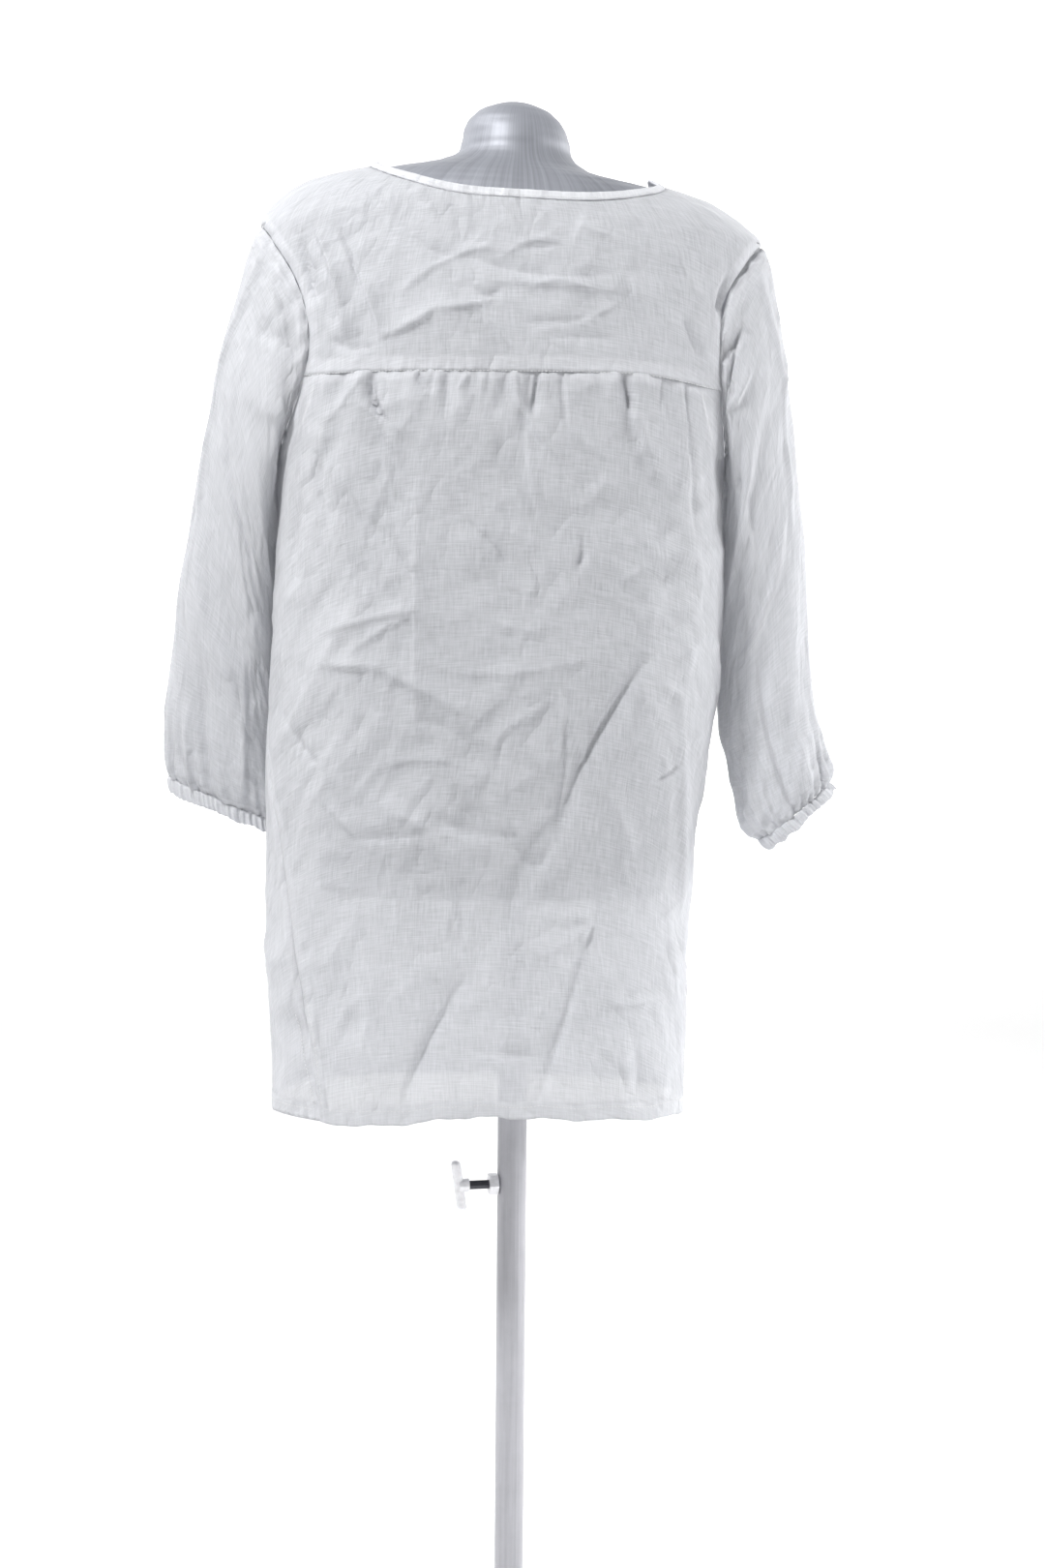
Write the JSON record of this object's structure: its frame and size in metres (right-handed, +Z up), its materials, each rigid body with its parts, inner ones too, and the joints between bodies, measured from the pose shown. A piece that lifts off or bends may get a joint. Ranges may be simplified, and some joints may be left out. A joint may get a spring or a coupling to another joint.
{
  "type": "tunic blouse on a dress form",
  "caption": "Sheer linen tunic blouse with a back yoke, gathers, full sleeves and elastic cuffs, worn by a limbless dress form on a height-adjustable tube stand.",
  "frame": {"origin": "on the floor, at the axis of the pole, on the underside of the base plate", "axes": "+Z up along the pole; the back of the blouse faces -Y; +X is its right-hand side as seen from behind"},
  "size_m": [0.614, 0.34, 1.5343],
  "materials": {
    "linen": "thin plain-woven linen with slubs, slightly see-through",
    "form_grey": "silver-grey semi-gloss lacquer",
    "bottom_board": "grey painted board",
    "pole_paint": "satin grey paint on steel",
    "bright_steel": "bright zinc-plated steel",
    "dark_steel": "dark blackened steel"
  },
  "bodies": {
    "stand": {"base_plate": "pole_paint", "base_socket": "pole_paint", "stand_tube": "pole_paint", "clamp_nut": "bright_steel"},
    "mast": {"mast_tube": "bright_steel", "mast_flange": "dark_steel"},
    "form": {"form_shell": "form_grey", "form_plate": "bottom_board", "back_yoke": "linen", "back_panel": "linen", "front_panel": "linen", "sleeve_left": "linen", "sleeve_right": "linen", "cuff_left": "linen", "cuff_right": "linen", "neck_binding": "linen"},
    "screw": {"clamp_screw": "dark_steel", "clamp_handle": "bright_steel"}
  },
  "joints": [
    {"name": "mast_slide", "type": "slide", "parent": "stand", "child": "mast", "axis": [0, 0, 1], "range_m": [-0.13, 0.2]},
    {"name": "form_turn", "type": "hinge", "parent": "mast", "child": "form", "pos_m": [0, 0, 0.8457], "axis": [0, 0, 1], "continuous": true},
    {"name": "screw_turn", "type": "hinge", "parent": "stand", "child": "screw", "pos_m": [0, 0, 0.57], "axis": [-0.9781, -0.2079, 0], "continuous": true}
  ]
}
